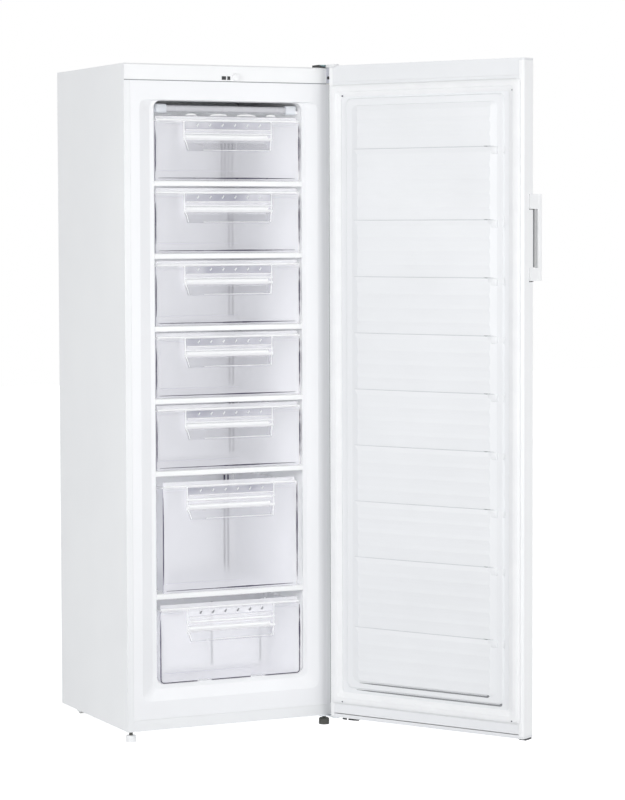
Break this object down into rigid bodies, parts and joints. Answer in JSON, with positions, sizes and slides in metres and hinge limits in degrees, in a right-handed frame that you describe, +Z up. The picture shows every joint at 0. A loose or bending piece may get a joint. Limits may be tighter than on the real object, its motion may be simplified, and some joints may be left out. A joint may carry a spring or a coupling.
{
  "type": "upright freezer",
  "caption": "Tall white upright freezer, its right-hung door standing open on a stack of clear pull-out drawers between evaporator shelves.",
  "frame": {"origin": "middle of the whole footprint, with the door open as stored, on the floor", "axes": "+Z up, the longest extent; the cabinet's front faces -Y and its width runs along X"},
  "size_m": [0.9436, 1.0394, 1.7718],
  "materials": {
    "white_steel": "white enamelled sheet steel, satin gloss",
    "zinc_steel": "zinc-plated steel",
    "black_steel": "black enamel",
    "white_plastic": "smooth white ABS",
    "liner_plastic": "vacuum-formed white polystyrene",
    "foam": "rigid polyurethane foam",
    "gasket_pvc": "soft white magnetic seal",
    "clear_plastic": "clear moulded polystyrene",
    "aluminium": "pale painted aluminium plate and tube",
    "copper": "copper tube",
    "black_plastic": "black moulded plastic",
    "smoked_lens": "dark translucent lens"
  },
  "bodies": {
    "cabinet": {"side_panel_left": "white_steel", "side_panel_right": "white_steel", "top_panel": "white_steel", "back_panel": "white_steel", "base_pan": "zinc_steel", "plinth": "white_steel", "inner_liner": "liner_plastic", "cabinet_foam": "foam", "condenser_coil": "copper", "evaporator_shelf_1": "aluminium", "shelf_trim_1": "white_plastic", "evaporator_shelf_2": "aluminium", "shelf_trim_2": "white_plastic", "evaporator_shelf_3": "aluminium", "shelf_trim_3": "white_plastic", "evaporator_shelf_4": "aluminium", "shelf_trim_4": "white_plastic", "evaporator_shelf_5": "aluminium", "shelf_trim_5": "white_plastic", "evaporator_shelf_6": "aluminium", "shelf_trim_6": "white_plastic", "evaporator_top": "aluminium", "evaporator_bar": "white_plastic", "bar_clip_left": "clear_plastic", "bar_clip_right": "clear_plastic", "control_fascia": "white_plastic", "indicator_lens_left": "smoked_lens", "indicator_lens_right": "smoked_lens", "thermostat": "zinc_steel", "top_hinge_bracket": "zinc_steel", "top_hinge_bolt": "black_steel", "lower_hinge_bracket": "zinc_steel", "compressor_plate": "zinc_steel", "compressor": "black_steel", "drip_tray": "black_plastic", "filter_drier": "copper", "cord_gland": "black_plastic"},
    "door": {"door_panel": "white_steel", "door_foam": "foam", "door_liner": "liner_plastic", "door_gasket": "gasket_pvc", "door_top_cap": "white_plastic", "door_bottom_cap": "white_plastic", "door_stop": "black_plastic", "reversing_bush": "black_plastic", "handle_grip": "white_plastic", "handle_mount_upper": "white_plastic", "handle_mount_lower": "white_plastic"},
    "knob": {"thermostat_knob": "white_plastic"},
    "foot_left": {"foot_left": "white_plastic"},
    "foot_right": {"foot_right": "white_plastic"},
    "roller_left": {"roller_left": "black_plastic"},
    "roller_right": {"roller_right": "black_plastic"},
    "drawer_1": {"drawer_1": "clear_plastic"},
    "drawer_2": {"drawer_2": "clear_plastic"},
    "drawer_3": {"drawer_3": "clear_plastic"},
    "drawer_4": {"drawer_4": "clear_plastic"},
    "drawer_5": {"drawer_5": "clear_plastic"},
    "drawer_6": {"drawer_6": "clear_plastic"},
    "drawer_7": {"drawer_7": "clear_plastic"}
  },
  "joints": [
    {"name": "door_hinge", "type": "hinge", "parent": "cabinet", "child": "door", "pos_m": [0.11721, -0.00133, 0.9], "axis": [0, 0, 1], "range_deg": [-120, 15]},
    {"name": "drawer_1_slide", "type": "slide", "parent": "cabinet", "child": "drawer_1", "axis": [0, -1, 0], "range_m": [0, 0.34]},
    {"name": "drawer_2_slide", "type": "slide", "parent": "cabinet", "child": "drawer_2", "axis": [0, -1, 0], "range_m": [0, 0.34]},
    {"name": "drawer_3_slide", "type": "slide", "parent": "cabinet", "child": "drawer_3", "axis": [0, -1, 0], "range_m": [0, 0.34]},
    {"name": "drawer_4_slide", "type": "slide", "parent": "cabinet", "child": "drawer_4", "axis": [0, -1, 0], "range_m": [0, 0.34]},
    {"name": "drawer_5_slide", "type": "slide", "parent": "cabinet", "child": "drawer_5", "axis": [0, -1, 0], "range_m": [0, 0.34]},
    {"name": "drawer_6_slide", "type": "slide", "parent": "cabinet", "child": "drawer_6", "axis": [0, -1, 0], "range_m": [0, 0.34]},
    {"name": "drawer_7_slide", "type": "slide", "parent": "cabinet", "child": "drawer_7", "axis": [0, -1, 0], "range_m": [0, 0.16]},
    {"name": "thermostat_turn", "type": "hinge", "parent": "cabinet", "child": "knob", "pos_m": [-0.15729, 0.02637, 1.7335], "axis": [0, 1, 0], "range_deg": [-150, 150]},
    {"name": "foot_left_screw", "type": "hinge", "parent": "cabinet", "child": "foot_left", "pos_m": [-0.45479, 0.05167, 0.01], "axis": [0, 0, 1], "continuous": true},
    {"name": "foot_right_screw", "type": "hinge", "parent": "cabinet", "child": "foot_right", "pos_m": [0.10621, 0.05167, 0.01], "axis": [0, 0, 1], "continuous": true},
    {"name": "roller_left_spin", "type": "hinge", "parent": "cabinet", "child": "roller_left", "pos_m": [-0.42179, 0.49167, 0.014], "axis": [1, 0, 0], "continuous": true},
    {"name": "roller_right_spin", "type": "hinge", "parent": "cabinet", "child": "roller_right", "pos_m": [0.07321, 0.49167, 0.014], "axis": [1, 0, 0], "continuous": true}
  ]
}
